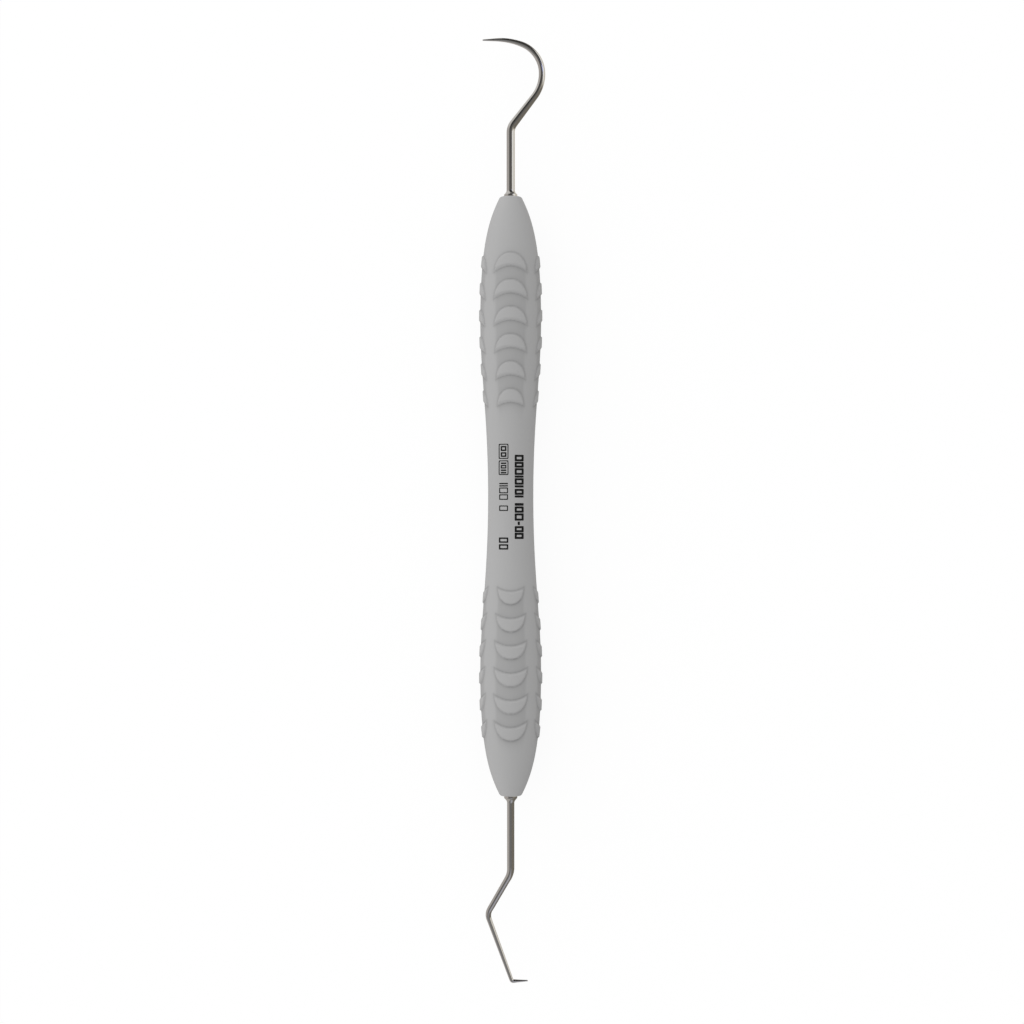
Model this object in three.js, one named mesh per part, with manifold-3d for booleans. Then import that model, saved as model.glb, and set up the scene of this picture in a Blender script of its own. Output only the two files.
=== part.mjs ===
// A double-ended dental explorer: a soft waisted sleeve moulded over a steel core, with a shepherd's hook
// pressed into one end and a short right-angle tip into the other.
//
// Millimetres, +Z up. The instrument lies on a tray: its handle runs along X with the hook towards +X, every
// bend of the wires lies flat in the XY plane, and the origin is under the middle of the whole on the tray.

import * as THREE from 'three';
import { mergeVertices } from 'three/addons/utils/BufferGeometryUtils.js';
import Module from 'manifold-3d';

const wasm = await Module();
wasm.setup();

// Sleeve: a narrow waist, a fuller belly towards each end, and a nose that closes in to a small flat face
const gripHalfLength = 56.4;
const waistRadius = 4.26;
const bellyRadius = 5.73;
const bellyStation = 33;
const noseRadius = 2.01;
const faceRadius = 1.8;
const faceRounding = 0.3;
const gripSides = 24;
const waistSteps = 6;
const noseSteps = 8;

// Raised crescents: rows from each nose towards the waist, in four columns round the sleeve
const crescentRows = 6;
const crescentColumns = 4;
const firstCrescentStation = 45.2;
const crescentPitch = 5.07;
const crescentBow = 3.6;
const crescentThickness = 2.3;
const crescentRise = 0.26;
const crescentRiseLostPerRow = 0.01;
const firstHalfAngle = THREE.MathUtils.degToRad(33.8);
const halfAngleLostPerRow = THREE.MathUtils.degToRad(0.68);
const crescentRoot = 3.4;
const crescentSteps = 4;

// Core: a thin tube with a turned ferrule in each end, and the bond line left between any two pieces
const bondGap = 0.05;
const tubeRadius = 3;
const tubeBoreRadius = 2.5;
const tubeHalfLength = 44.5;
const plugLength = 8;
const ferruleLandLength = 1.5;
const ferruleNoseRadius = 1.6;
const boreEndWall = 2;
const lipThickness = 0.85;
const neckRadius = 1.15;
const coreSides = 24;

// Working ends: each is ground as a straight bar, then bent along its route of straights and round bends
const wireSides = 16;
const bendStep = THREE.MathUtils.degToRad(9);
const closestStations = 0.05;
const tipRadius = 0.085;
const rimHeight = 0.46;
const rimOverhang = 0.1;
const collarHollow = 0.72;
const flankSteps = 5;
const tipSteps = 3;

const hookEnd = {
  tangRadius: 0.9,
  collarLength: 1.25,
  route: [
    { straight: 12.19 },
    { radius: 2.8, turn: -37.5 },
    { straight: 6.34 },
    { radius: 7.1, turn: 39.7 },
    { radius: 5.9, turn: 67.2 },
    { radius: 13.2, turn: 22.1 },
    { straight: 2.4 },
  ],
  taper: [
    [0, 0.775],
    [13.6, 0.775],
    [20, 0.65],
    [28, 0.58],
    [32, 0.5],
    [36.2, 0.345],
  ],
};

const rightAngleEnd = {
  tangRadius: 0.8,
  collarLength: 1.4,
  route: [
    { straight: 13.7 },
    { radius: 3.8, turn: -30.2 },
    { straight: 6.75 },
    { radius: 2.2, turn: 50.4 },
    { straight: 12.15 },
    { radius: 0.42, turn: 71.5 },
    { straight: 2.7 },
  ],
  taper: [
    [0, 0.6865],
    [13.7, 0.6865],
    [16.3, 0.597],
    [22, 0.56],
    [25, 0.475],
    [36.8, 0.363],
    [37.8, 0.255],
  ],
};

const silicone = new THREE.MeshStandardMaterial({ color: 0xa5a5a5, roughness: 0.6, metalness: 0 });
const polishedSteel = new THREE.MeshStandardMaterial({ color: 0xc9c6c0, roughness: 0.15, metalness: 1 });
const drawnSteel = new THREE.MeshStandardMaterial({ color: 0xb4b3b0, roughness: 0.4, metalness: 1 });

// Vertices nearer than this are one vertex
const weldDistance = 1e-4;

const point = (x, y) => new THREE.Vector2(x, y);

// A piece turned about X. Its profile lists (station, radius) points from the -X end over the outside to the
// +X end. Half a facet of turn puts a flat, and not a ridge, at the top, the bottom and both sides.
function turned(profile, sides) {
  const spun = profile.map((p) => point(Math.max(p.y, 0), p.x));
  return new THREE.LatheGeometry(spun, sides, Math.PI / sides).rotateZ(-Math.PI / 2);
}

function solidOf(geometry) {
  const bare = geometry.clone();
  bare.deleteAttribute('normal');
  bare.deleteAttribute('uv');
  const merged = mergeVertices(bare, weldDistance);
  return new wasm.Manifold(new wasm.Mesh({
    numProp: 3,
    vertProperties: new Float32Array(merged.attributes.position.array),
    triVerts: new Uint32Array(merged.index.array),
  }));
}

function geometryOf(solid) {
  const mesh = solid.getMesh();
  const geometry = new THREE.BufferGeometry();
  geometry.setAttribute('position', new THREE.BufferAttribute(mesh.vertProperties, 3));
  geometry.setIndex(new THREE.BufferAttribute(mesh.triVerts, 1));
  return geometry;
}

// ---- Silicone sleeve ----

const waistCurve = new THREE.CubicBezierCurve(
  point(0, waistRadius),
  point(15.2, waistRadius),
  point(22.6, bellyRadius),
  point(bellyStation, bellyRadius),
);
const noseCurve = new THREE.CubicBezierCurve(
  point(bellyStation, bellyRadius),
  point(47, bellyRadius),
  point(52.1, 4.2),
  point(gripHalfLength, noseRadius),
);

// Half of the outline from the waist to the nose, raised by lift(station)
function halfOutline(lift) {
  const stations = [...waistCurve.getPoints(waistSteps), ...noseCurve.getPoints(noseSteps).slice(1, -1)];
  return stations.map((p) => point(p.x, p.y + lift(p.x)));
}

// Both halves joined: the half walked from its nose back to the waist, mirrored, and then the half itself
function wholeOutline(half) {
  const mirrored = half.slice(1).reverse().map((p) => point(-p.x, p.y));
  return [...mirrored, ...half];
}

// The end of the sleeve from its rounded corner across the flat face, in through the lip and down the bore
const noseEnd = [
  point(gripHalfLength - faceRounding, noseRadius + faceRounding / 3),
  point(gripHalfLength - faceRounding / 4, (noseRadius + faceRadius) / 2 + faceRounding / 4),
  point(gripHalfLength, faceRadius),
  point(gripHalfLength, neckRadius + bondGap),
  point(gripHalfLength - lipThickness, neckRadius + bondGap),
  point(gripHalfLength - lipThickness, ferruleNoseRadius + bondGap),
  point(tubeHalfLength + ferruleLandLength, tubeRadius + bondGap),
];

function makeSleeve() {
  const ends = noseEnd.map((p) => point(-p.x, p.y));
  const outside = wholeOutline(halfOutline(() => 0));
  const ring = [...ends.reverse(), ...outside, ...noseEnd];
  return solidOf(turned([...ring, ring[0]], gripSides));
}

// The height of the crescents fades a little from the nose to the waist
const riseAt = (station) => crescentRise
  - crescentRiseLostPerRow * (firstCrescentStation - Math.abs(station)) / crescentPitch;

function makeCrownBody() {
  const raised = wholeOutline(halfOutline(riseAt));
  const left = point(raised[0].x, 0);
  const right = point(raised[raised.length - 1].x, 0);
  return solidOf(turned([left, ...raised, right], gripSides));
}

function sleeveRadiusAt(station) {
  const half = halfOutline(() => 0);
  const after = half.findIndex((p) => p.x > station);
  const [a, b] = [half[after - 1], half[after]];
  return THREE.MathUtils.mapLinear(station, a.x, b.x, a.y, b.y);
}

// Seen from straight above: a bowed edge towards the nose and a round hollow edge towards the waist
function crescentShape(row) {
  const crown = firstCrescentStation - crescentPitch * row;
  const horns = crown - crescentBow;
  const hollow = crown - crescentThickness;
  const halfAngle = firstHalfAngle - halfAngleLostPerRow * row;
  const halfWidth = (sleeveRadiusAt(horns) + riseAt(horns)) * Math.sin(halfAngle);
  const depth = hollow - horns;
  const hollowRadius = (halfWidth ** 2 + depth ** 2) / (2 * depth);
  const reach = Math.asin(halfWidth / hollowRadius);
  const shape = new THREE.Shape();
  shape.absellipse(horns, 0, crescentBow, halfWidth, -Math.PI / 2, Math.PI / 2, false);
  shape.absarc(hollow - hollowRadius, 0, hollowRadius, reach, -reach, true);
  return shape;
}

function makeGrip() {
  const crownBody = makeCrownBody();
  let grip = makeSleeve();
  for (let row = 0; row < crescentRows; row += 1) {
    const bar = new THREE.ExtrudeGeometry(crescentShape(row), {
      depth: bellyRadius,
      bevelEnabled: false,
      curveSegments: crescentSteps,
    }).translate(0, 0, crescentRoot);
    for (let column = 0; column < crescentColumns; column += 1) {
      const placed = bar.clone().rotateX(2 * Math.PI * column / crescentColumns);
      const crescent = solidOf(placed).intersect(crownBody);
      grip = grip.add(crescent).add(solidOf(placed.rotateZ(Math.PI)).intersect(crownBody));
    }
  }
  return geometryOf(grip);
}

// ---- Core tube and ferrules ----

function makeTube() {
  const ring = [
    point(-tubeHalfLength, tubeBoreRadius),
    point(-tubeHalfLength, tubeRadius),
    point(tubeHalfLength, tubeRadius),
    point(tubeHalfLength, tubeBoreRadius),
  ];
  return turned([...ring, ring[0]], coreSides);
}

// A plug inside the tube, a land as wide as the tube, a tapered nose, and a blind bore for the tang
function makeFerrule(tangRadius) {
  const shoulder = tubeHalfLength + bondGap;
  const plugEnd = shoulder - plugLength;
  const nose = gripHalfLength - lipThickness - bondGap;
  const boreRadius = tangRadius + bondGap;
  const profile = [
    point(plugEnd, 0),
    point(plugEnd, tubeBoreRadius - 2 * bondGap),
    point(shoulder, tubeBoreRadius - 2 * bondGap),
    point(shoulder, tubeRadius),
    point(tubeHalfLength + ferruleLandLength, tubeRadius),
    point(nose, ferruleNoseRadius),
    point(nose, boreRadius),
    point(plugEnd + boreEndWall, boreRadius),
    point(plugEnd + boreEndWall, 0),
  ];
  return turned(profile, coreSides);
}

// ---- Working ends ----

// Radius of the ground bar at a distance from the sleeve's face: straight tapers between the given places
function barRadius(taper, distance) {
  const next = taper.findIndex(([place]) => place >= distance);
  if (next <= 0) {
    return taper[0][1];
  }
  const [a, b] = [taper[next - 1], taper[next]];
  return THREE.MathUtils.mapLinear(distance, a[0], b[0], a[1], b[1]);
}

const lengthOf = (move) => move.straight ?? move.radius * Math.abs(THREE.MathUtils.degToRad(move.turn));

// Where the bar's own stations fall: both ends of every straight, small steps round every bend, and every
// place where its taper changes
function barStations(route, taper) {
  const places = taper.map(([place]) => place);
  let start = 0;
  for (const move of route) {
    const length = lengthOf(move);
    const steps = move.straight ? 1 : Math.ceil(Math.abs(THREE.MathUtils.degToRad(move.turn)) / bendStep);
    for (let step = 1; step <= steps; step += 1) {
      places.push(start + length * step / steps);
    }
    start += length;
  }
  const sorted = places.sort((a, b) => a - b);
  return sorted.filter((place, i) => i === 0 || place - sorted[i - 1] > closestStations);
}

// A point and a heading on the route at a distance from the sleeve's face; behind the face it runs straight
function routeAt(route, distance) {
  const here = { x: gripHalfLength, y: 0, heading: 0 };
  let left = distance;
  for (const move of route) {
    const part = Math.min(left, lengthOf(move));
    if (move.straight) {
      here.x += part * Math.cos(here.heading);
      here.y += part * Math.sin(here.heading);
    } else {
      const side = Math.sign(move.turn);
      const before = here.heading;
      here.heading += side * part / move.radius;
      here.x += side * move.radius * (Math.sin(here.heading) - Math.sin(before));
      here.y -= side * move.radius * (Math.cos(here.heading) - Math.cos(before));
    }
    left -= part;
    if (left <= 0) {
      break;
    }
  }
  return here;
}

// Each vertex keeps its offset from the bar's axis and its distance along it, and is carried onto the route
function bend(bar, route) {
  const position = bar.attributes.position;
  for (let i = 0; i < position.count; i += 1) {
    const distance = position.getX(i) - gripHalfLength;
    const offset = position.getY(i);
    const { x, y, heading } = routeAt(route, distance);
    position.setXY(i, x - offset * Math.sin(heading), y + offset * Math.cos(heading));
  }
  return bar;
}

// Tang, shoulder, neck through the sleeve's lip, rimmed collar with a hollow flank, tapered shank and round tip
function makeWorkingEnd({ tangRadius, collarLength, route, taper }) {
  const total = route.reduce((sum, move) => sum + lengthOf(move), 0);
  const tapered = [...taper, [total, tipRadius]];
  const shankRadius = taper[0][1];
  const rimRadius = neckRadius + rimOverhang;
  const tangEnd = tubeHalfLength - plugLength + boreEndWall + 2 * bondGap;
  const collarFlank = new THREE.QuadraticBezierCurve(
    point(gripHalfLength + rimHeight, rimRadius),
    point(gripHalfLength + collarHollow * collarLength, shankRadius),
    point(gripHalfLength + collarLength, shankRadius),
  );
  const profile = [
    point(tangEnd, 0),
    point(tangEnd, tangRadius),
    point(gripHalfLength - lipThickness, tangRadius),
    point(gripHalfLength - lipThickness, neckRadius),
    point(gripHalfLength + bondGap, neckRadius),
    ...collarFlank.getPoints(flankSteps),
  ];
  for (const place of barStations(route, tapered)) {
    if (place > collarLength) {
      profile.push(point(gripHalfLength + place, barRadius(tapered, place)));
    }
  }
  const tipDome = new THREE.EllipseCurve(gripHalfLength + total, 0, tipRadius, tipRadius, Math.PI / 2, 0, true);
  profile.push(...tipDome.getPoints(tipSteps).slice(1));
  return bend(turned(profile, wireSides), route);
}

// ---- Assembly ----

function piece(name, geometry, material) {
  const mesh = new THREE.Mesh(geometry, material);
  mesh.name = name;
  return mesh;
}

const farEnd = new THREE.Group();
farEnd.rotation.z = Math.PI;
farEnd.add(
  piece('right_angle_end_ferrule', makeFerrule(rightAngleEnd.tangRadius), drawnSteel),
  piece('right_angle_explorer_end', makeWorkingEnd(rightAngleEnd), polishedSteel),
);

const instrument = new THREE.Group();
instrument.add(
  piece('silicone_grip', makeGrip(), silicone),
  piece('handle_core_tube', makeTube(), drawnSteel),
  piece('hook_end_ferrule', makeFerrule(hookEnd.tangRadius), drawnSteel),
  piece('hook_explorer_end', makeWorkingEnd(hookEnd), polishedSteel),
  farEnd,
);

const extent = new THREE.Box3().setFromObject(instrument, true);
const middle = extent.getCenter(new THREE.Vector3());
instrument.position.set(-middle.x, -middle.y, -extent.min.z);

const explorer = new THREE.Group();
explorer.add(instrument);

export default explorer;
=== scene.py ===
# A double-ended dental explorer: a soft moulded sleeve over a steel core, with a shepherd's hook pressed
# into one end and a right-angle tip into the other. It lies on a pale table with every bend flat.
# Sizes of pieces are in millimetres. Stations are counted from the middle of the handle along its axis, and
# a working end's distances from the sleeve's face. Sizes in the studio are in metres.

import bpy
import numpy as np
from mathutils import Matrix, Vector


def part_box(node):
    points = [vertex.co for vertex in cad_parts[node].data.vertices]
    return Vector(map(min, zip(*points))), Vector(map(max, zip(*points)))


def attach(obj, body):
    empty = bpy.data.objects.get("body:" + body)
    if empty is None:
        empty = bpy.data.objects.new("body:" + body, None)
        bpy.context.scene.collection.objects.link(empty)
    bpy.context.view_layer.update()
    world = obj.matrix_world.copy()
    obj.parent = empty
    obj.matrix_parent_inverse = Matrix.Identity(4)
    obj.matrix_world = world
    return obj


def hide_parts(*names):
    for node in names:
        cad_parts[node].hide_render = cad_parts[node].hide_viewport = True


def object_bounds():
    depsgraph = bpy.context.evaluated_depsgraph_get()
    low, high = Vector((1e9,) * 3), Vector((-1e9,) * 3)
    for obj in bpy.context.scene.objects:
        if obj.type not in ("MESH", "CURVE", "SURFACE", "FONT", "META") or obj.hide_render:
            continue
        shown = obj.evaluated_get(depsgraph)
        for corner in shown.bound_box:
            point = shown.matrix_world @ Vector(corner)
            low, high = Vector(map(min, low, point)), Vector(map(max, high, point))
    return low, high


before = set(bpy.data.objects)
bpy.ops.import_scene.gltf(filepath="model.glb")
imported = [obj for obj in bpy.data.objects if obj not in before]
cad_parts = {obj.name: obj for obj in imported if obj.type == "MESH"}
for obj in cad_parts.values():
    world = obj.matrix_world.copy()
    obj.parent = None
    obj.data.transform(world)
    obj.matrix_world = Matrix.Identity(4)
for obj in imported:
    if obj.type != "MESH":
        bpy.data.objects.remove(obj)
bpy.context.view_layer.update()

# ---- Sleeve ----
# The grip is one injection moulding of grey silicone over the steel core, waisted in the middle and full
# towards both ends. Its mould is finely textured, which leaves the rubber matt, and cut with rows of
# crescents that stand proud for the fingertips.

METRES_PER_MM = 0.001
sleeve_low, sleeve_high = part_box("silicone_grip")
handle_middle = (sleeve_low + sleeve_high) / 2
half_length = (sleeve_high.x - sleeve_low.x) / 2 / METRES_PER_MM

waist_radius = 4.26
belly_radius = 5.73
belly_station = 33
nose_radius = 2.01
corner_rounding = 0.34
corner_start = half_length - 0.5
lip_radius = 1.2
lip_thickness = 0.85
lip_rounding = 0.08
cavity_radius = 1.65
bore_radius = 3.05
bore_half_length = 46

crescent_rows = 6
crescent_columns = 4
first_foot = 45.34
right_angle_half_further = 0.2
row_pitch = 5.07
bow_depth = 3.75
bow_fullness = 2.2
crescent_width = 2.46
first_horn_drop = 1.08
horn_drop_lost_per_row = 0.08
bowed_chamfer = 0.22
hollow_chamfer = 0.42
first_rise = 0.26
rise_lost_per_row = 0.01
first_half_angle = np.radians(33.8)
half_angle_lost_per_row = np.radians(0.68)
side_softness = 0.2
shade_between = 0.115
shade_in_lee = 0.15
lee_length = 1.1
crease_width = 0.19
bowed_crease = 0.15
hollow_crease = 0.23
hollow_crease_in_lee = 0.14
tail = 0.06
tail_in_lee = 0.17
crease_offset = 0.05
tail_length = 0.4
snap_distance = 0.085


def rounded(corners, steps=4):
    """An outline through corners (place, radius, cut): each inner corner is replaced by a quadratic curve
    that leaves one straight and joins the next at the distance cut from the corner."""
    places = np.array([corner[:2] for corner in corners], float)
    outline = [places[:1]]
    t = np.linspace(0, 1, steps + 1)[:, None]
    for number in range(1, len(corners) - 1):
        here = places[number]
        back = places[number - 1] - here
        on = places[number + 1] - here
        start = here + back * corners[number][2] / np.hypot(*back)
        end = here + on * corners[number][2] / np.hypot(*on)
        outline.append((1 - t) ** 2 * start + 2 * t * (1 - t) * here + t**2 * end)
    return np.concatenate(outline + [places[-1:]])


def bezier(first, second, third, fourth):
    """Points along a cubic Bezier curve through its four control points, close together."""
    t = np.linspace(0, 1, 400)[:, None]
    ends = (1 - t) ** 3 * np.array(first) + t**3 * np.array(fourth)
    return ends + 3 * t * (1 - t) ** 2 * np.array(second) + 3 * t**2 * (1 - t) * np.array(third)


belly = (belly_station, belly_radius)
waist_curve = bezier((0, waist_radius), (15.2, waist_radius), (22.6, belly_radius), belly)
nose_curve = bezier(belly, (47, belly_radius), (52.1, 4.2), (half_length, nose_radius))
outline_curve = np.concatenate([waist_curve, nose_curve[1:]])


def sleeve_radius(station):
    """Radius of the plain sleeve: an S curve from waist to belly, then a curve closing to the nose."""
    return np.interp(np.abs(station), outline_curve[:, 0], outline_curve[:, 1])


def smooth(x):
    """Zero below 0, one above 1, and 3 x squared less 2 x cubed between."""
    held = np.clip(x, 0, 1)
    return held * held * (3 - 2 * held)


def from_bowed_foot(reach, away, row):
    """Distance inwards from the bowed foot of a row's crescents, and its slopes along and round the sleeve.

    w is the sine of the angle from the column's middle over the sine of the crescent's half angle, and t is
    the distance past the horns over the bow's depth, 0 before them. The foot is a slightly squared ellipse,
    where t and w, each to the power of the fullness, add up to 1. The distance is 1 less that sum's root,
    over the root's slope."""
    half_angle = first_half_angle - half_angle_lost_per_row * row
    w = np.sin(away) / np.sin(half_angle)
    w_slope = np.cos(away) / (sleeve_radius(reach) * np.sin(half_angle))
    t = np.maximum(reach - (first_foot - row_pitch * row - bow_depth), 0) / bow_depth
    length = np.maximum((t**bow_fullness + w**bow_fullness) ** (1 / bow_fullness), 1e-6)
    along = (t / length) ** (bow_fullness - 1) / bow_depth
    around = (w / length) ** (bow_fullness - 1) * w_slope
    slope = np.maximum(np.hypot(along, around), 1e-6)
    return (1 - length) / slope, -along / slope, -around / slope


def from_hollow_foot(reach, away, row):
    """The same for the hollow foot, a parabola in w: its drop at the horns times w squared."""
    half_angle = first_half_angle - half_angle_lost_per_row * row
    w = np.sin(away) / np.sin(half_angle)
    w_slope = np.cos(away) / (sleeve_radius(reach) * np.sin(half_angle))
    horn_drop = first_horn_drop - horn_drop_lost_per_row * row
    foot = first_foot - row_pitch * row - crescent_width - horn_drop * w**2
    around = 2 * horn_drop * w * w_slope
    slope = np.hypot(1, around)
    return (reach - foot) / slope, 1 / slope, around / slope


def snapped_to_edges(reach, away):
    """Points of the sleeve's grid that are nearly on a crescent's foot, or on the top of its chamfer, are
    moved square to that line until they lie on it, so that the edges come out sharp."""
    for row in range(crescent_rows):
        for distance_from, chamfer in ((from_bowed_foot, bowed_chamfer), (from_hollow_foot, hollow_chamfer)):
            other = from_hollow_foot if distance_from is from_bowed_foot else from_bowed_foot
            for line in (0, chamfer):
                distance, along, around = distance_from(reach, away, row)
                beside_crescent = other(reach, away, row)[0] > -snap_distance
                near = (np.abs(distance - line) < snap_distance) & beside_crescent
                move = np.where(near, line - distance, 0)
                reach, away = reach + move * along, away + move * around / sleeve_radius(reach)
    return reach, away


def crescents(reach, away, hook_half):
    """Height of the crescents, and two tints that stand for soft shading on the skin beside them.

    The height is the rise times the smaller of two straight ramps, one inwards from each foot. The broad
    tint lies between two crescents, and behind the foot that faces away from the hook, where it falls to
    about a third over the lee's length. The crease tint is a narrow bell just outside either foot with a
    longer tail, strongest behind the hollow feet of the hook's half. Both are painted into the colour, so
    they stay where they are whatever the light."""
    height, broad, crease = (np.zeros(reach.shape) for _ in range(3))
    for row in range(crescent_rows):
        from_bow = from_bowed_foot(reach, away, row)[0]
        from_hollow = from_hollow_foot(reach, away, row)[0]
        rise = first_rise - rise_lost_per_row * row
        bowed_ramp = np.clip(from_bow / bowed_chamfer, 0, 1)
        hollow_ramp = np.clip(from_hollow / hollow_chamfer, 0, 1)
        height = np.maximum(height, rise * np.minimum(bowed_ramp, hollow_ramp))
        half_angle = first_half_angle - half_angle_lost_per_row * row
        w = np.sin(away) / np.sin(half_angle)
        side = smooth((1 - w) / side_softness)
        bow = 1 - np.clip(1 - w**bow_fullness, 0, 1) ** (1 / bow_fullness)
        bowed_foot = first_foot - row_pitch * row - bow_depth * bow
        behind = np.where(hook_half, -from_hollow, reach - bowed_foot)
        lee = (behind > 0) * np.exp(-np.maximum(behind, 0) / lee_length)
        broad = np.maximum(broad, side * shade_in_lee * lee)
        if row < crescent_rows - 1:
            between = (from_hollow < 0) & (reach > bowed_foot - row_pitch)
            broad = np.maximum(broad, side * shade_between * between)
        hollow_bell = np.where(hook_half, hollow_crease_in_lee, hollow_crease)
        hollow_tail = np.where(hook_half, tail_in_lee, tail)
        bowed_side = (from_bow, from_hollow, bowed_crease, tail)
        hollow_side = (from_hollow, from_bow, hollow_bell, hollow_tail)
        for distance, other, bell_depth, tail_depth in (bowed_side, hollow_side):
            bell = bell_depth * np.exp(-(((distance + crease_offset) / crease_width) ** 2))
            fading = tail_depth * (distance <= 0) * np.exp(np.minimum(distance, 0) / tail_length)
            crease = np.maximum(crease, (bell + fading) * (other > -crease_width))
    return height, broad * (height == 0), crease


def in_frame(points):
    """Millimetres from the middle of the handle turned into metres in the frame."""
    return points * METRES_PER_MM + np.array(handle_middle)


def joined_shells(name, shells, along=None):
    """One mesh of closed shells. A shell is (rings, start, end): rings is an array (ring, place round it,
    xyz) whose neighbours are joined by quads, all the way round. With a start and an end point the two end
    rings close to them in fans of triangles; with neither, the last ring joins the first. A shell whose
    volume comes out negative is turned inside out. The UV map is (turns round, along), along given for each
    ring."""
    points, faces, maps, used = [], [], [], 0
    for rings, start, end in shells:
        count, sides = rings.shape[:2]
        wrapped = start is None
        number = used + np.arange(count * sides).reshape(count, sides)
        nearer = number if wrapped else number[:-1]
        further = np.roll(number, -1, axis=0) if wrapped else number[1:]
        quads = np.stack([nearer, np.roll(nearer, -1, 1), np.roll(further, -1, 1), further], -1)
        quads = quads.reshape(-1, 4)
        corners = [rings.reshape(-1, 3)]
        fans = np.zeros((0, 3), int)
        if not wrapped:
            corners += [np.reshape(start, (1, 3)), np.reshape(end, (1, 3))]
            first, last = used + count * sides, used + count * sides + 1
            ring, top = number[0], number[-1]
            low = np.stack([np.roll(ring, -1), ring, np.full(sides, first)], -1)
            high = np.stack([top, np.roll(top, -1), np.full(sides, last)], -1)
            fans = np.concatenate([low, high])
        here = np.concatenate(corners)
        triangles = np.concatenate([quads[:, [0, 1, 2]], quads[:, [0, 2, 3]], fans]) - used
        a, b, c = here[triangles[:, 0]], here[triangles[:, 1]], here[triangles[:, 2]]
        if np.einsum("ij,ij->i", a, np.cross(b, c)).sum() < 0:
            quads, fans = quads[:, ::-1], fans[:, ::-1]
        points.append(here)
        faces += quads.tolist() + fans.tolist()
        if along is not None:
            v = np.append(np.repeat(along, sides), [along[0], along[-1]])
            u = np.append(np.tile(np.arange(sides) / sides, count), [0.5, 0.5])
            for corner_set in (quads, fans):
                turn = u[corner_set - used]
                turn = turn + (turn < turn.max(axis=1, keepdims=True) - 0.5)
                maps.append(np.stack([turn, v[corner_set - used]], -1).reshape(-1, 2))
        used += len(here)
    mesh = bpy.data.meshes.new(name)
    mesh.from_pydata(in_frame(np.concatenate(points)), [], faces)
    if along is not None:
        mesh.uv_layers.new(name="along_the_bar").data.foreach_set("uv", np.concatenate(maps).ravel())
    mesh.shade_smooth()
    piece = bpy.data.objects.new(name, mesh)
    bpy.context.scene.collection.objects.link(piece)
    return piece


def around_axis(station, radius, angle):
    """Points at those stations and radii; the angle is counted from straight up towards -Y."""
    x = np.broadcast_to(station, np.broadcast(radius, angle).shape)
    return np.stack([x, -radius * np.sin(angle), radius * np.cos(angle)], -1)


def spaced(spans):
    """Places from the first span's start on, each span (end, number of steps) cut evenly."""
    places = [np.array([0.0])]
    for end, steps in spans:
        places.append(np.linspace(places[-1][-1], end, steps + 1)[1:])
    return np.concatenate(places)


plain_waist = 14
crescents_end = corner_start - 9.8
nose_spans = [(corner_start - 1, 20), (corner_start, 5)]
crescent_stations = spaced([(plain_waist, 14), (crescents_end, 190), *nose_spans])
outside = np.stack([crescent_stations, sleeve_radius(crescent_stations)], -1)
end_and_bore = rounded([
    (*outside[-1], 0),
    (half_length, nose_radius, corner_rounding),
    (half_length, lip_radius, lip_rounding),
    (half_length - lip_thickness, lip_radius, lip_rounding),
    (half_length - lip_thickness, cavity_radius, lip_rounding),
    (bore_half_length, bore_radius, lip_rounding),
    (0, bore_radius, 0),
])[1:]
half_outline = np.concatenate([outside, end_and_bore])
mirrored = half_outline[1:-1][::-1] * [-1, 1]
outline = np.concatenate([half_outline, mirrored])
is_outside = np.isin(np.abs(outline[:, 0]), crescent_stations) & (outline[:, 1] > bore_radius - 0.5)

fine_zone = np.radians(36)
fine_places = 45
coarse_places = 5
quarter_turn = 2 * np.pi / crescent_columns
one_quarter = np.concatenate([
    np.linspace(-fine_zone, fine_zone, fine_places)[:-1],
    np.linspace(fine_zone, quarter_turn - fine_zone, coarse_places)[:-1],
])
round_the_sleeve = (np.arange(crescent_columns)[:, None] * quarter_turn + one_quarter).ravel()

station_grid, angle_grid = np.meshgrid(outline[:, 0], round_the_sleeve, indexing="ij")
column = np.round(angle_grid / quarter_turn) * quarter_turn
reach, away = np.abs(station_grid), np.abs(angle_grid - column)
outer = is_outside[:, None]
further = np.where(station_grid < 0, right_angle_half_further, 0)
snapped_reach, snapped_away = snapped_to_edges(reach - further, away)
reach, away = np.where(outer, snapped_reach + further, reach), np.where(outer, snapped_away, away)
lift, *tints = crescents(reach - further, away, station_grid > 0)
skin_radius = np.where(outer, sleeve_radius(reach) + lift, outline[:, 1:])
skin_station = reach * np.sign(station_grid)
skin_angle = column + away * np.sign(angle_grid - column)
skin = around_axis(skin_station, skin_radius, skin_angle)
grip = joined_shells("silicone_grip_skin", [(skin, None, None)])
# Both tints are painted shade beside the crescents, kept on the skin's points for its material.
for attribute_name, values in zip(("broad_painted_shade", "crease_painted_shade"), tints):
    attribute = grip.data.attributes.new(attribute_name, "FLOAT", "POINT")
    attribute.data.foreach_set("value", (values * outer).ravel())


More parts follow.
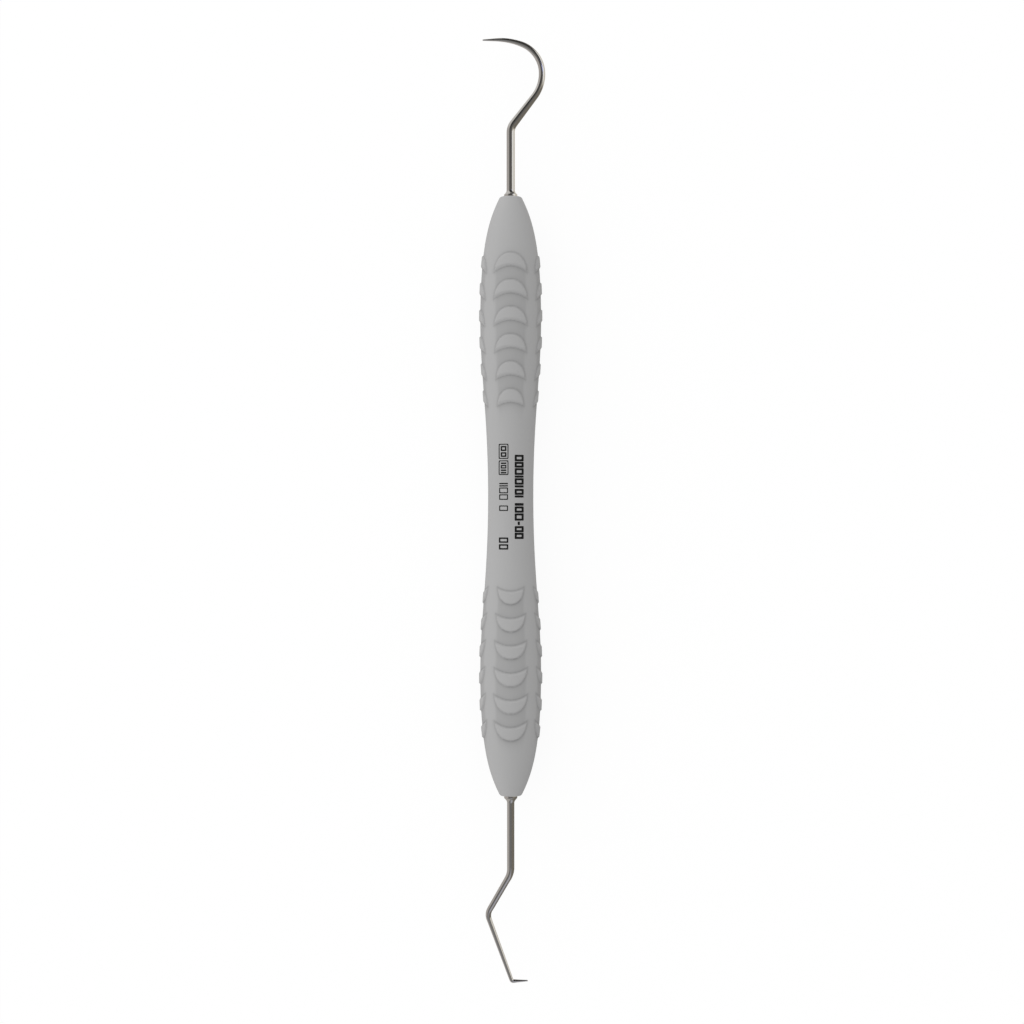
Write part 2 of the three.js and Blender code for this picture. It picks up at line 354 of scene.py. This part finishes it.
class Wire:
    """One output of a node in a material. Arithmetic on wires adds Math nodes, and add puts in any other."""

    def __init__(self, tree, socket=None):
        self.tree = tree
        self.socket = socket

    def add(self, kind, settings=None, sockets=None, output=0):
        """A node of a kind: its settings go first, then its sockets get their values or wires, by name or
        number. Gives the wire of one of its outputs."""
        node = self.tree.nodes.new(kind)
        for setting, value in (settings or {}).items():
            setattr(node, setting, value)
        for key, value in (sockets or {}).items():
            if isinstance(value, Wire):
                self.tree.links.new(value.socket, node.inputs[key])
            else:
                node.inputs[key].default_value = value
        return Wire(self.tree, node.outputs[output] if node.outputs else None)

    def maths(self, operation, *values):
        return self.add("ShaderNodeMath", {"operation": operation}, dict(enumerate(values)))

    def mixed(self, factor, first, second):
        """The first colour where the factor is 0 and the second where it is 1."""
        settings = {"data_type": "RGBA", "clamp_factor": True}
        return self.add("ShaderNodeMix", settings, {0: factor, 6: first, 7: second}, 2)

    def scaled(self, colour, share):
        """A colour times a number."""
        return self.add("ShaderNodeVectorMath", {"operation": "SCALE"}, {0: colour, "Scale": share})

    def step(self, low, high):
        """Zero at low, one at high, smooth between."""
        sockets = {0: self, 1: low, 2: high, 3: 0.0, 4: 1.0}
        return self.add("ShaderNodeMapRange", {"interpolation_type": "SMOOTHSTEP"}, sockets)

    def __add__(self, other):
        return self.maths("ADD", self, other)

    def __sub__(self, other):
        return self.maths("SUBTRACT", self, other)

    def __rsub__(self, other):
        return self.maths("SUBTRACT", other, self)

    def __mul__(self, other):
        return self.maths("MULTIPLY", self, other)

    __radd__ = __add__
    __rmul__ = __mul__


def new_material(name):
    """An empty node material and a wire to build its nodes from."""
    material = bpy.data.materials.new(name)
    material.use_nodes = True
    material.node_tree.nodes.clear()
    return material, Wire(material.node_tree)


def surfaced(wire, sockets):
    """Ends a material in the standard surface shader with those sockets."""
    shader = wire.add("ShaderNodeBsdfPrincipled", {}, sockets)
    wire.add("ShaderNodeOutputMaterial", {}, {"Surface": shader})


silicone, wire = new_material("grey_silicone")
place = wire.add("ShaderNodeTexCoord", {}, {}, "Object")
broad_painted_shade = wire.add("ShaderNodeAttribute", {"attribute_name": "broad_painted_shade"}, {}, "Fac")
crease_painted_shade = wire.add("ShaderNodeAttribute", {"attribute_name": "crease_painted_shade"}, {}, "Fac")
fine_noise = {"Vector": place, "Scale": 9000.0, "Detail": 3.0, "Roughness": 0.6}
texture = wire.add("ShaderNodeTexNoise", {}, fine_noise)
cloud = wire.add("ShaderNodeTexNoise", {}, {"Vector": place, "Scale": 160.0, "Detail": 2.0})
# Painted shade: the grey is darkened by the two painted shades beside the crescents, and the broad one also
# makes the skin rougher there.
shaded = (1 - broad_painted_shade) * (1 - crease_painted_shade)
shade = shaded * (0.98 + 0.03 * cloud) * (0.98 + 0.04 * texture)
silicone_grey = wire.scaled((0.386, 0.385, 0.385), shade)
matt = wire.add("ShaderNodeBump", {}, {"Strength": 0.25, "Distance": 0.00001, "Height": texture})
surfaced(wire, {
    "Base Color": silicone_grey,
    "Roughness": 0.58 + 0.3 * broad_painted_shade + 0.04 * texture,
    "Normal": matt,
    "Specular IOR Level": 0.22,
})
grip.data.materials.append(silicone)
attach(grip, "root")
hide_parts("silicone_grip")

# ---- Printed marks ----
# Black ink is pad printed on the waist after moulding, as a film too thin to feel. These are plain strokes
# and outlined boxes that spell nothing, standing where the maker's own lines of print would be.

ink_height = 0.014
ink_depth = 0.04
ink_squareness = 16
edge_points = 17


def mark_edge(low, high, inset):
    """Points round a rectangle with softened corners between two corners (station, sideways), a little in
    from its sides. Points spread evenly round a square of half size 1 are pulled in to where the sum of x
    and y, each to the power of the squareness, is 1, and stretched to the rectangle."""
    low, high = np.array(low, float), np.array(high, float)
    side = np.linspace(-1, 1, edge_points)[:-1]
    full = np.ones_like(side)
    square = np.concatenate([
        np.stack([side, -full], -1), np.stack([full, side], -1),
        np.stack([-side, full], -1), np.stack([-full, -side], -1),
    ])
    size = (np.abs(square) ** ink_squareness).sum(axis=1, keepdims=True) ** (1 / ink_squareness)
    return (low + high) / 2 + square / size * ((high - low) / 2 - inset)


def on_sleeve(spots, height):
    """Points over spots (station, sideways) seen from straight above, that high over the sleeve."""
    station, sideways = spots[..., 0], spots[..., 1]
    radius = sleeve_radius(station)
    angle = np.arcsin(sideways / radius)
    return around_axis(station, radius + height, angle)


def filled_mark(low, high):
    """A closed film: rings from the middle out over its top, down its edge and back in under it."""
    middle = (np.array(low) + np.array(high)) / 2
    edge = mark_edge(low, high, 0)
    shares = np.array([0.3, 0.65, 0.97, 1, 1, 0.65, 0.3])[:, None, None]
    heights = np.array([1, 1, 1, 0.6, 0, 0, 0])[:, None] * (ink_height + ink_depth) - ink_depth
    rings = on_sleeve(middle + (edge - middle) * shares, heights)
    return rings, on_sleeve(middle, ink_height), on_sleeve(middle, -ink_depth)


def outlined_mark(low, high, stroke):
    """A closed frame: its outer and inner edges, on top and below, joined all the way round."""
    outer, inner = mark_edge(low, high, 0), mark_edge(low, high, stroke)
    rings = np.stack([outer, inner, inner, outer])
    heights = np.array([ink_height, ink_height, -ink_depth, -ink_depth])[:, None]
    return on_sleeve(rings, heights), None, None


def row_of_marks(start, widths, low, high, stroke, gap):
    """Small upright boxes laid from a start towards -X with a gap after each: those hardly wider than the
    stroke are filled, the others outlined with it."""
    shells = []
    for width in widths:
        corners = (start - width, low), (start, high)
        shells.append(filled_mark(*corners) if width < 1.5 * stroke else outlined_mark(*corners, stroke))
        start -= width + gap
    return shells


# A kind of mark is its low edge, its high edge and its stroke.
bold = (0.74, 2.42, 0.39)
light = (-2.15, -0.5, 0.19)
bold_row = row_of_marks(7.7, [1.22, 1.07, 1.27, 0.4, 1.22, 0.42], *bold, 0.1)
bold_row += row_of_marks(1.35, [1.12, 0.4], *bold, 0.1)
bold_row += row_of_marks(-1.3, [0.5, 1.18, 1.36], *bold, 0.12)
bold_row += [filled_mark((-5.4, 1.3), (-4.75, 1.72))]
bold_row += row_of_marks(-5.6, [1.14, 1.16], *bold, 0.1)
light_row = [outlined_mark((6.93, -2.24), (9.74, -0.42), 0.17)]
light_row += [outlined_mark((3.94, -2.24), (6.66, -0.42), 0.17)]
light_row += row_of_marks(9.34, [0.94, 0.88], -1.86, -0.8, 0.27, 0.22)
light_row += row_of_marks(6.26, [0.28, 0.66, 0.28, 0.28], -1.86, -0.8, 0.22, 0.18)
light_row += row_of_marks(2.46, [0.24, 0.24, 1.08, 1.02], *light, 0.19)
light_row += row_of_marks(-1.75, [1.02], *light, 0.19)
small_row = row_of_marks(-7.71, [1.0, 1.0], -2.2, -0.45, 0.28, 0.26)
marks = joined_shells("pad_printed_marks", bold_row + light_row + small_row)

ink, wire = new_material("black_pad_print")
place = wire.add("ShaderNodeTexCoord", {}, {}, "Object")
grain = wire.add("ShaderNodeTexNoise", {}, {"Vector": place, "Scale": 7000.0, "Detail": 3.0})
surfaced(wire, {
    "Base Color": wire.mixed(grain, (0.004, 0.004, 0.004, 1), (0.012, 0.012, 0.012, 1)),
    "Roughness": 0.55 + 0.15 * grain,
    "Specular IOR Level": 0.15,
    "Normal": wire.add("ShaderNodeBump", {}, {"Strength": 0.2, "Distance": 0.000005, "Height": grain}),
})
marks.data.materials.append(ink)
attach(marks, "root")

# ---- Core ----
# The sleeve hides the core, so its form is a guess: a drawn stainless tube, with a turned ferrule glued
# into each end that grips the wires. Drawing leaves fine lines along a tube, and covered parts are left
# unpolished.

drawn_steel, wire = new_material("drawn_stainless")
place = wire.add("ShaderNodeTexCoord", {}, {}, "Object")
stretched = wire.add("ShaderNodeMapping", {}, {"Vector": place, "Scale": (60.0, 4000.0, 4000.0)})
draw_lines = wire.add("ShaderNodeTexNoise", {}, {"Vector": stretched, "Scale": 1.0, "Detail": 4.0})
surfaced(wire, {
    "Base Color": wire.mixed(draw_lines, (0.40, 0.39, 0.38, 1), (0.52, 0.51, 0.50, 1)),
    "Metallic": 1.0,
    "Roughness": 0.3 + 0.2 * draw_lines,
    "Normal": wire.add("ShaderNodeBump", {}, {"Strength": 0.3, "Distance": 0.00002, "Height": draw_lines}),
})
for node_name in ("handle_core_tube", "hook_end_ferrule", "right_angle_end_ferrule"):
    node_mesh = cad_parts[node_name].data
    node_mesh.materials.clear()
    node_mesh.materials.append(drawn_steel)

# ---- Working ends ----
# Each is ground from one bar of stainless wire: a tang for the ferrule, a neck through the sleeve's lip,
# a rimmed collar, and a shank that tapers to a needle. It is bent to shape and polished bright.

tang_start = 38.6
neck_radius = 1.15
rim_radius = 1.25
rim_height = 0.46
rim_rounding = 0.06
collar_hollow = 0.72
tip_radius = 0.115
bar_sides = 48
ring_spacing = 0.14

# A route is a list of moves: (length, None) runs straight, (radius, degrees) bends, to the left if
# positive. A taper is a list of (distance from the sleeve's face, radius), and runs on to the tip.
hook_end = {
    "tang_radius": 0.9,
    "collar_length": 1.25,
    "route": [
        (12.19, None), (2.8, -37.5), (6.34, None), (7.1, 39.7), (5.9, 67.2), (13.2, 22.1), (2.4, None),
    ],
    "taper": [(0, 0.775), (13.6, 0.775), (20, 0.65), (28, 0.58), (32, 0.5), (36.2, 0.345), (39.2, 0.15)],
}
right_angle_end = {
    "tang_radius": 0.8,
    "collar_length": 1.4,
    "route": [
        (13.7, None), (3.8, -30.2), (6.75, None), (2.2, 50.4), (12.15, None), (0.42, 71.5), (2.7, None),
    ],
    "taper": [
        (0, 0.6865), (13.7, 0.6865), (16.3, 0.597), (22, 0.56), (25, 0.475), (36.8, 0.363), (37.8, 0.255),
    ],
}


def move_length(move):
    """A straight's own length, or a bend's radius times its turn."""
    size, degrees = move
    return size if degrees is None else size * abs(np.radians(degrees))


def along_route(route, distance):
    """Places x, y and heading at distances from the sleeve's face. Each move adds the part of it that lies
    before the distance: a straight along the heading, a bend round its own centre. Behind the face the first
    straight runs on backwards."""
    x, y = np.full_like(distance, half_length), np.zeros_like(distance)
    heading, left = np.zeros_like(distance), distance.copy()
    for move in route:
        part = np.minimum(left, move_length(move))
        size, degrees = move
        if degrees is None:
            x += part * np.cos(heading)
            y += part * np.sin(heading)
        else:
            side = np.sign(degrees)
            turned = heading + side * part / size
            x += side * size * (np.sin(turned) - np.sin(heading))
            y -= side * size * (np.cos(turned) - np.cos(heading))
            heading = turned
        left = left - part
    return x, y, heading


def working_end(tang_radius, collar_length, route, taper):
    """The bar's outline (distance from the sleeve's face, radius) turned round the route: tang, shoulder,
    neck, rim, a hollow flank that runs out into the shank, the shank's straight tapers, and a round tip."""
    total = sum(move_length(move) for move in route)
    tapered = np.array(taper + [(total, tip_radius)])
    shank_radius = taper[0][1]
    tang = tang_start - half_length
    body = rounded([
        (tang, 0.02, 0),
        (tang, tang_radius, 0.15),
        (-lip_thickness, tang_radius, 0.02),
        (-lip_thickness, neck_radius, 0.04),
        (0.05, neck_radius, 0.02),
        (0.05, rim_radius, 0.04),
        (rim_height, rim_radius, rim_rounding),
        (rim_height + 0.1, rim_radius - 0.1, 0),
    ])
    t = np.linspace(0, 1, 12)[1:, None]
    flank_foot = np.array([collar_hollow * collar_length, shank_radius])
    flank_end = np.array([collar_length, shank_radius])
    flank = (1 - t) ** 2 * body[-1] + 2 * t * (1 - t) * flank_foot + t**2 * flank_end
    places = np.linspace(collar_length, total, int((total - collar_length) / ring_spacing))[1:]
    shank = np.stack([places, np.interp(places, tapered[:, 0], tapered[:, 1])], -1)
    dome = np.linspace(0, np.pi / 2, 7)[1:-1, None]
    tip = [total, 0] + tip_radius * np.concatenate([np.sin(dome), np.cos(dome)], -1)
    profile = np.concatenate([body, flank, shank, tip])
    x, y, heading = (values[:, None] for values in along_route(route, profile[:, 0]))
    turn = np.arange(bar_sides) / bar_sides * 2 * np.pi
    offset, height = profile[:, 1:] * np.sin(turn), profile[:, 1:] * np.cos(turn)
    rings = np.stack([x - offset * np.sin(heading), y + offset * np.cos(heading), height], -1)
    tip_x, tip_y, _ = along_route(route, np.array([total + tip_radius]))
    start = np.array([half_length + tang, 0, 0])
    end = np.array([tip_x[0], tip_y[0], 0])
    return (rings, start, end), profile[:, 0]


def turned_round(shell):
    """The same end on the other side of the handle: half a turn about the vertical."""
    rings, start, end = shell
    flip = np.array([-1, -1, 1])
    return rings * flip, start * flip, end * flip


bright_steel, wire = new_material("polished_stainless")
bar_place = wire.add("ShaderNodeUVMap", {"uv_map": "along_the_bar"})
round_lines = wire.add("ShaderNodeMapping", {}, {"Vector": bar_place, "Scale": (3.0, 14.0, 1.0)})
polish_noise = {"Vector": round_lines, "Scale": 1.0, "Detail": 5.0, "Roughness": 0.6}
polish = wire.add("ShaderNodeTexNoise", {}, polish_noise)
smears = wire.add("ShaderNodeTexNoise", {}, {"Vector": bar_place, "Scale": 0.8, "Detail": 2.0})
surfaced(wire, {
    "Base Color": wire.mixed(polish, (0.60, 0.59, 0.57, 1), (0.66, 0.65, 0.63, 1)),
    "Metallic": 1.0,
    "Roughness": 0.06 + 0.06 * polish + 0.05 * smears,
    "Normal": wire.add("ShaderNodeBump", {}, {"Strength": 0.15, "Distance": 0.000004, "Height": polish}),
})
bar, along = working_end(**hook_end)
hook = joined_shells("hook_end_wire", [bar], along)
bar, along = working_end(**right_angle_end)
right_angle = joined_shells("right_angle_end_wire", [turned_round(bar)], along)
for piece, replaced in ((hook, "hook_explorer_end"), (right_angle, "right_angle_explorer_end")):
    piece.data.materials.append(bright_steel)
    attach(piece, "root")
    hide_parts(replaced)

# ---- Studio ----
# A pale table that glows evenly, and a soft sky that is brighter to the left and towards both ends, with a
# weak key light beyond the hook on the left. Only reflections see the distant tent: a dark roof, a bright
# card on the right, pale and warm walls, and lavender patches.

bpy.context.scene.view_settings.view_transform = "Standard"
table_white = 0.99
sky_strength = 0.835
ground_strength = 0.725
sky_more_at_hook = 0.13
sky_more_at_left = 0.28
sky_more_at_ends = 0.62
tent_radius = 8
table_sides = 96
key_size = 0.5
key_place = (0.8, 0.8, 0.42)
camera_place = (-0.000295, 0.000046)
camera_height = 0.37


def flat_disc(name, radius, rings):
    """A flat disc at height 0, facing up, of rings evenly apart about the origin."""
    turn = np.arange(table_sides) / table_sides * 2 * np.pi
    sizes = np.linspace(0, radius, rings + 1)[1:, None]
    circles = np.stack([sizes * np.cos(turn), sizes * np.sin(turn), 0 * sizes * turn], -1)
    number = 1 + np.arange(rings * table_sides).reshape(rings, table_sides)
    nearer, further = number[:-1], number[1:]
    quads = np.stack([nearer, further, np.roll(further, -1, 1), np.roll(nearer, -1, 1)], -1)
    fans = np.stack([np.zeros(table_sides, int), number[0], np.roll(number[0], -1)], -1)
    points = np.concatenate([[[0, 0, 0]], circles.reshape(-1, 3)])
    mesh = bpy.data.meshes.new(name)
    mesh.from_pydata(points, [], quads.reshape(-1, 4).tolist() + fans.tolist())
    disc = bpy.data.objects.new(name, mesh)
    bpy.context.scene.collection.objects.link(disc)
    return disc


table = flat_disc("pale_table", 3.0, 12)
table_finish, wire = new_material("pale_table")
lit = wire.add("ShaderNodeBsdfDiffuse", {}, {"Color": (0.1, 0.1, 0.1, 1)})
glowing = wire.add("ShaderNodeEmission", {}, {"Color": (1, 1, 1, 1), "Strength": 0.9})
both = wire.add("ShaderNodeAddShader", {}, {0: lit, 1: glowing})
wire.add("ShaderNodeOutputMaterial", {}, {"Surface": both})
table.data.materials.append(table_finish)
table.location.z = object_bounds()[0].z
table.visible_diffuse = False
table.visible_glossy = False
table.visible_shadow = False

world = bpy.data.worlds.new("soft_sky")
world.use_nodes = True
world.node_tree.nodes.clear()
bpy.context.scene.world = world
wire = Wire(world.node_tree)
seen = wire.add("ShaderNodeLightPath", {}, {}, "Is Camera Ray")
compass = wire.add("ShaderNodeTexCoord", {}, {}, "Generated")
parts = wire.add("ShaderNodeSeparateXYZ", {}, {0: compass}, "Z")
to_hook = Wire(wire.tree, parts.socket.node.outputs["X"])
to_left = Wire(wire.tree, parts.socket.node.outputs["Y"])
up_and_down = ground_strength + (sky_strength - ground_strength) * parts.step(-0.3, 0.3)
brighter = 1 + sky_more_at_hook * to_hook + sky_more_at_left * to_left + sky_more_at_ends * to_hook * to_hook
strength = up_and_down * brighter
sky = wire.add("ShaderNodeBackground", {}, {"Color": (1, 1, 1, 1), "Strength": strength})
backdrop = wire.add("ShaderNodeBackground", {}, {"Color": (1, 1, 1, 1), "Strength": table_white})
either = wire.add("ShaderNodeMixShader", {}, {0: seen, 1: sky, 2: backdrop})
wire.add("ShaderNodeOutputWorld", {}, {"Surface": either})

bpy.ops.mesh.primitive_uv_sphere_add(segments=64, ring_count=32, radius=tent_radius)
tent = bpy.context.object
tent.name = "studio_tent"
tent.location = handle_middle
tent_finish, wire = new_material("studio_tent")
direction = wire.add("ShaderNodeTexCoord", {}, {}, "Object")
aim = wire.add("ShaderNodeVectorMath", {"operation": "NORMALIZE"}, {0: direction})
split = wire.add("ShaderNodeSeparateXYZ", {}, {0: aim})
ahead = Wire(wire.tree, split.socket.node.outputs[0])
left = Wire(wire.tree, split.socket.node.outputs[1])
up = Wire(wire.tree, split.socket.node.outputs[2])
lean = wire.maths("ARCTAN2", 0 - left, up) * (180 / np.pi)

dark_roof = (0.125, 0.12, 0.115, 1)
black_roof = (0.03, 0.03, 0.028, 1)
near_roof = (0.19, 0.185, 0.18, 1)
pale_lavender = (0.5, 0.5, 0.56, 1)
dull_lavender = (0.42, 0.42, 0.44, 1)
warm_grey = (0.53, 0.50, 0.48, 1)
bright_card = (1.15, 1.14, 1.12, 1)
dim_card = (0.52, 0.49, 0.42, 1)
cream_wall = (0.76, 0.71, 0.63, 1)
olive_wall = (0.215, 0.197, 0.168, 1)
behind_roof = (0.25, 0.25, 0.255, 1)
pale_wall = (0.74, 0.72, 0.7, 1)
blue_card = (0.75, 0.85, 1.5, 1)

# Ahead runs from -1 behind the right-angle tip to 1 beyond the hook. Lean is in degrees, 0 overhead and 90
# level on the right. Each patch comes in between two such places, so that its edge is soft.
black_roof_edge = (0.22, 0.34)
behind_edge = (-0.2, -0.3)
lavender_edge = (-0.12, -0.21)
left_roof_edge = (-56, -34)
right_roof_edge = (31, 35)
underneath = (168, 180)
card_foot = (80, 88)

roof = wire.mixed(ahead.step(-0.12, 0.1), near_roof, dark_roof)
roof = wire.mixed(ahead.step(*black_roof_edge), roof, black_roof)
roof = wire.mixed(ahead.step(*behind_edge), roof, behind_roof)
lifted = wire.maths("MAXIMUM", lean, 0) * (1 / 140) + ahead
behind_and_low = lifted.step(*lavender_edge)
roof = wire.mixed(behind_and_low * lean.step(-8, 14), roof, pale_lavender)

right = wire.mixed(lean.step(*card_foot), bright_card, cream_wall)
right = wire.mixed((ahead + lean * 0.005).step(0.29, 0.47), dim_card, right)
right = wire.mixed(ahead.step(-0.02, -0.12), right, olive_wall)
right = wire.mixed(ahead.step(0.72, 0.85), right, dark_roof)
lavender = wire.mixed(lean.step(40, 65), pale_lavender, dull_lavender)
right = wire.mixed(behind_and_low, right, lavender)

left_wall = wire.mixed(ahead.step(0.3, 0.6), warm_grey, pale_wall)
left_edge = lean + 22 * ahead.step(-0.2, -0.35)
walls = wire.mixed(left_edge.step(*left_roof_edge), left_wall, roof)
right_edge = lean - 14 * ahead.step(0.25, 0.5)
right_share = right_edge.step(*right_roof_edge) * (1 - lean.step(*underneath))
walls = wire.mixed(right_share, walls, right)
blue_length = ahead.step(0.26, 0.28) * (1 - ahead.step(0.33, 0.35))
blue_width = lean.step(12, 16) * (1 - lean.step(40, 44))
walls = wire.mixed(blue_length * blue_width, walls, blue_card)
glow = wire.add("ShaderNodeEmission", {}, {"Color": walls, "Strength": 1.0})
wire.add("ShaderNodeOutputMaterial", {}, {"Surface": glow})
tent_finish.cycles.emission_sampling = "NONE"
tent.data.materials.append(tent_finish)
tent.visible_camera = False
tent.visible_diffuse = False
tent.visible_shadow = False

key_data = bpy.data.lights.new("key_light", "AREA")
key_data.shape = "RECTANGLE"
key_data.size = key_size
key_data.size_y = key_size
key_data.energy = 1.5
key = bpy.data.objects.new("key_light", key_data)
key.location = key_place
key.rotation_euler = (Vector((0, 0, 0)) - key.location).to_track_quat("-Z", "Y").to_euler()
key.visible_glossy = False
bpy.context.scene.collection.objects.link(key)

camera_data = bpy.data.cameras.new("camera")
camera_data.sensor_width = 36
camera_data.lens = 69
camera_data.clip_start = 0.01
camera_data.clip_end = 20
camera = bpy.data.objects.new("camera", camera_data)
camera.location = (*camera_place, handle_middle.z + camera_height)
camera.rotation_euler = (0, 0, -np.pi / 2)
bpy.context.scene.collection.objects.link(camera)
bpy.context.scene.camera = camera
